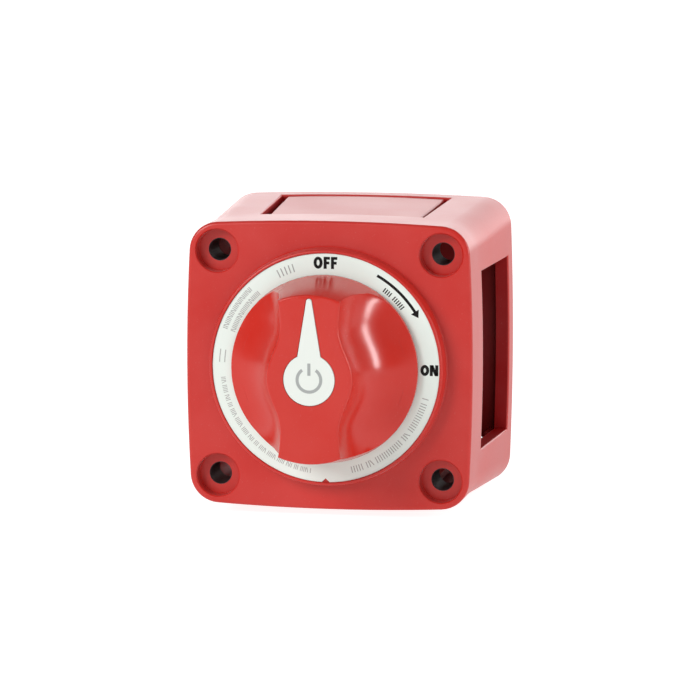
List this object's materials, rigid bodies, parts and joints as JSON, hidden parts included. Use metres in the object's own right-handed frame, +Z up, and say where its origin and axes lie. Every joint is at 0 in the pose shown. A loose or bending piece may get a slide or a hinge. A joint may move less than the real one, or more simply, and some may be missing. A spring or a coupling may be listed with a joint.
{
  "type": "battery switch",
  "caption": "Square panel-mounted battery switch: flared housing with cable ports, round dial label and a turning knob with grip bar and pointer, studs inside for cable lugs.",
  "frame": {"origin": "centre of the mounting plane at the back of the housing", "axes": "+Y into the panel along the knob's axis, the knob faces -Y; +Z up towards the OFF mark; +X right towards the ON mark"},
  "size_m": [0.0696, 0.075, 0.0696],
  "materials": {
    "housing_red": "satin moulded",
    "knob_red": "polished moulded",
    "label_white": "printed film",
    "pointer_white": "satin moulded",
    "rotor_nylon": "natural",
    "base_black": "glass-filled",
    "black_rubber": "moulded",
    "stainless_steel": "machined",
    "spring_steel": "drawn",
    "copper": "rolled",
    "tinned_copper": "tin plated",
    "contact_silver": "silver alloy"
  },
  "bodies": {
    "housing": {"case": "housing_red", "dial_label": "label_white", "thrust_washer": "stainless_steel", "detent_spring_left": "spring_steel", "detent_spring_right": "spring_steel", "contact_base": "base_black", "base_gasket": "black_rubber", "base_screws": "stainless_steel", "stud_seals": "black_rubber", "stud_contacts": "contact_silver", "terminal_stud_left": "tinned_copper", "terminal_stud_right": "tinned_copper", "flat_washers": "stainless_steel", "lock_washers": "stainless_steel", "terminal_nuts": "stainless_steel"},
    "rotor": {"knob": "knob_red", "knob_pointer": "pointer_white", "knob_screw": "stainless_steel", "rotor_shaft": "rotor_nylon", "shaft_seal": "black_rubber", "detent_cam": "rotor_nylon", "contact_carrier": "rotor_nylon", "contact_bridge": "copper", "bridge_contacts": "contact_silver", "contact_springs": "spring_steel"},
    "cover": {"rear_cover": "housing_red"},
    "top_blank": {"port_blank_top": "housing_red"},
    "bottom_blank": {"port_blank_bottom": "housing_red"}
  },
  "joints": [
    {"name": "knob_turn", "type": "hinge", "parent": "housing", "child": "rotor", "pos_m": [0, -0.056, 0], "axis": [0, 1, 0], "range_deg": [0, 90], "deforming": ["detent_spring_left", "detent_spring_right"]},
    {"name": "rear_cover_pull", "type": "slide", "parent": "housing", "child": "cover", "axis": [0, 1, 0], "range_m": [0, 0.03]},
    {"name": "top_blank_push", "type": "slide", "parent": "housing", "child": "top_blank", "axis": [0, 0, -1], "range_m": [0, 0.006]},
    {"name": "bottom_blank_push", "type": "slide", "parent": "housing", "child": "bottom_blank", "axis": [0, 0, 1], "range_m": [0, 0.006]}
  ]
}
